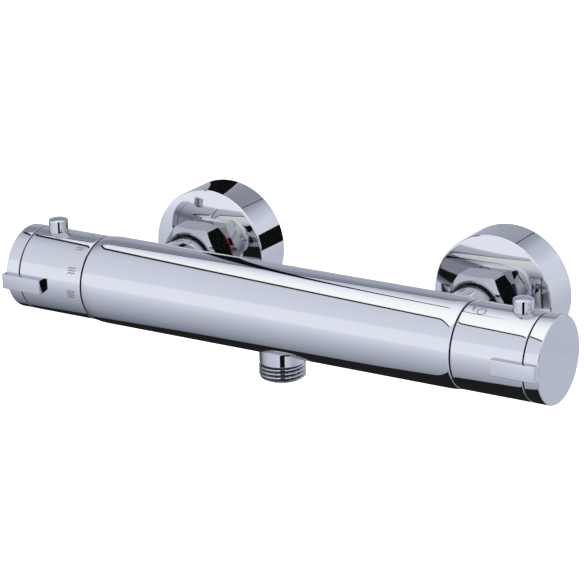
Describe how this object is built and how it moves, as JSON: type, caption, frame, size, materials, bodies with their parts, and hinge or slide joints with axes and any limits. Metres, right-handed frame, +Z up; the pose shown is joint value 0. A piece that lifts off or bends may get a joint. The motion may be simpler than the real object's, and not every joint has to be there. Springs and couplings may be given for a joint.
{
  "type": "thermostatic shower valve",
  "caption": "Wall-mounted thermostatic bar shower valve in polished chrome, with a flow knob, a temperature knob, eccentric wall unions and a threaded hose outlet below.",
  "frame": {"origin": "on the wall plane, midway between the axes of the two wall threads; the bar's centre line lies 76.6 mm in front of it and 7.5 mm above it", "axes": "+X along the bar towards the cold end, +Y into the wall along the wall threads, +Z up"},
  "size_m": [0.273, 0.1159, 0.0602],
  "materials": {
    "polished_chrome": "mirror-polished chrome plate on brass",
    "plated_brass": "chrome plate, duller at the threads",
    "bare_brass": "machined",
    "stainless_steel": "drawn wire and pressed sheet",
    "copper": "drawn copper",
    "black_rubber": "moulded rubber",
    "white_plastic": "moulded acetal",
    "grey_plastic": "glass-filled moulding",
    "red_plastic": "moulded plastic",
    "blue_plastic": "moulded plastic",
    "ceramic": "lapped alumina"
  },
  "bodies": {
    "valve": {"valve_body": "polished_chrome", "outlet_nipple": "polished_chrome", "hot_inlet_nipple": "plated_brass", "cold_inlet_nipple": "plated_brass", "hot_union_nut": "polished_chrome", "cold_union_nut": "polished_chrome", "hot_eccentric": "plated_brass", "cold_eccentric": "plated_brass", "hot_flange": "polished_chrome", "cold_flange": "polished_chrome", "hot_marker_ring": "red_plastic", "cold_marker_ring": "blue_plastic", "union_seals": "black_rubber", "inlet_filters": "stainless_steel", "check_valve_cages": "white_plastic", "hot_check_spring": "stainless_steel", "cold_check_spring": "stainless_steel", "thermostat_port_body": "grey_plastic", "thermostat_bonnet": "bare_brass", "thermostat_ring_nut": "bare_brass", "thermostat_o_rings": "black_rubber", "thermostat_strainers": "stainless_steel", "mixing_return_spring": "stainless_steel", "temperature_stop_ring": "red_plastic", "flow_headwork_shell": "bare_brass", "flow_headwork_o_ring": "black_rubber", "flow_disc_seal": "black_rubber", "flow_fixed_disc": "ceramic", "flow_stop_ring": "white_plastic"},
    "flow_knob": {"flow_knob_sleeve": "polished_chrome", "flow_knob_carrier": "white_plastic", "flow_lever_cap": "polished_chrome", "flow_knob_screw": "stainless_steel", "flow_spindle": "bare_brass", "flow_turning_disc": "ceramic", "flow_circlip": "stainless_steel", "flow_spindle_o_rings": "black_rubber", "flow_button_spring": "stainless_steel"},
    "flow_button": {"flow_button": "polished_chrome", "flow_button_catch": "white_plastic"},
    "temperature_knob": {"temperature_knob_sleeve": "polished_chrome", "temperature_knob_carrier": "white_plastic", "temperature_lever_cap": "polished_chrome", "temperature_knob_screw": "stainless_steel", "temperature_spindle": "bare_brass", "temperature_circlip": "stainless_steel", "temperature_spindle_o_rings": "black_rubber", "temperature_button_spring": "stainless_steel"},
    "temperature_button": {"temperature_button": "polished_chrome", "temperature_button_catch": "white_plastic"},
    "mixing_carriage": {"mixing_shuttle": "white_plastic", "shuttle_o_ring": "black_rubber", "wax_element": "copper", "wax_piston": "stainless_steel", "overtravel_cup": "stainless_steel", "overtravel_spring": "stainless_steel", "drive_nut": "bare_brass"},
    "hot_check_poppet": {"hot_check_poppet": "white_plastic"},
    "cold_check_poppet": {"cold_check_poppet": "white_plastic"}
  },
  "joints": [
    {"name": "flow_knob_turn", "type": "hinge", "parent": "valve", "child": "flow_knob", "pos_m": [-0.11, -0.0766, 0.0075], "axis": [-1, 0, 0], "range_deg": [0, 99]},
    {"name": "temperature_knob_turn", "type": "hinge", "parent": "valve", "child": "temperature_knob", "pos_m": [0.11, -0.0766, 0.0075], "axis": [1, 0, 0], "range_deg": [-150, 60]},
    {"name": "flow_button_press", "type": "slide", "parent": "flow_knob", "child": "flow_button", "axis": [0, 0, -1], "range_m": [0, 0.0024], "stiffness_N_per_m": 900, "springref_m": -0.001, "deforming": ["flow_button_spring"]},
    {"name": "temperature_button_press", "type": "slide", "parent": "temperature_knob", "child": "temperature_button", "axis": [0, 0, -1], "range_m": [0, 0.0024], "stiffness_N_per_m": 900, "springref_m": -0.001, "deforming": ["temperature_button_spring"]},
    {"name": "mixing_carriage_slide", "type": "slide", "parent": "valve", "child": "mixing_carriage", "axis": [1, 0, 0], "range_m": [-0.0011, 0.00045], "deforming": ["mixing_return_spring"]},
    {"name": "hot_check_poppet_open", "type": "slide", "parent": "valve", "child": "hot_check_poppet", "axis": [0, -1, 0], "range_m": [0, 0.003], "stiffness_N_per_m": 120, "springref_m": -0.002, "deforming": ["hot_check_spring"]},
    {"name": "cold_check_poppet_open", "type": "slide", "parent": "valve", "child": "cold_check_poppet", "axis": [0, -1, 0], "range_m": [0, 0.003], "stiffness_N_per_m": 120, "springref_m": -0.002, "deforming": ["cold_check_spring"]}
  ],
  "couplings": [
    {"joint": "mixing_carriage_slide", "follows": "temperature_knob_turn", "m_per_rad": 0.0004138}
  ]
}
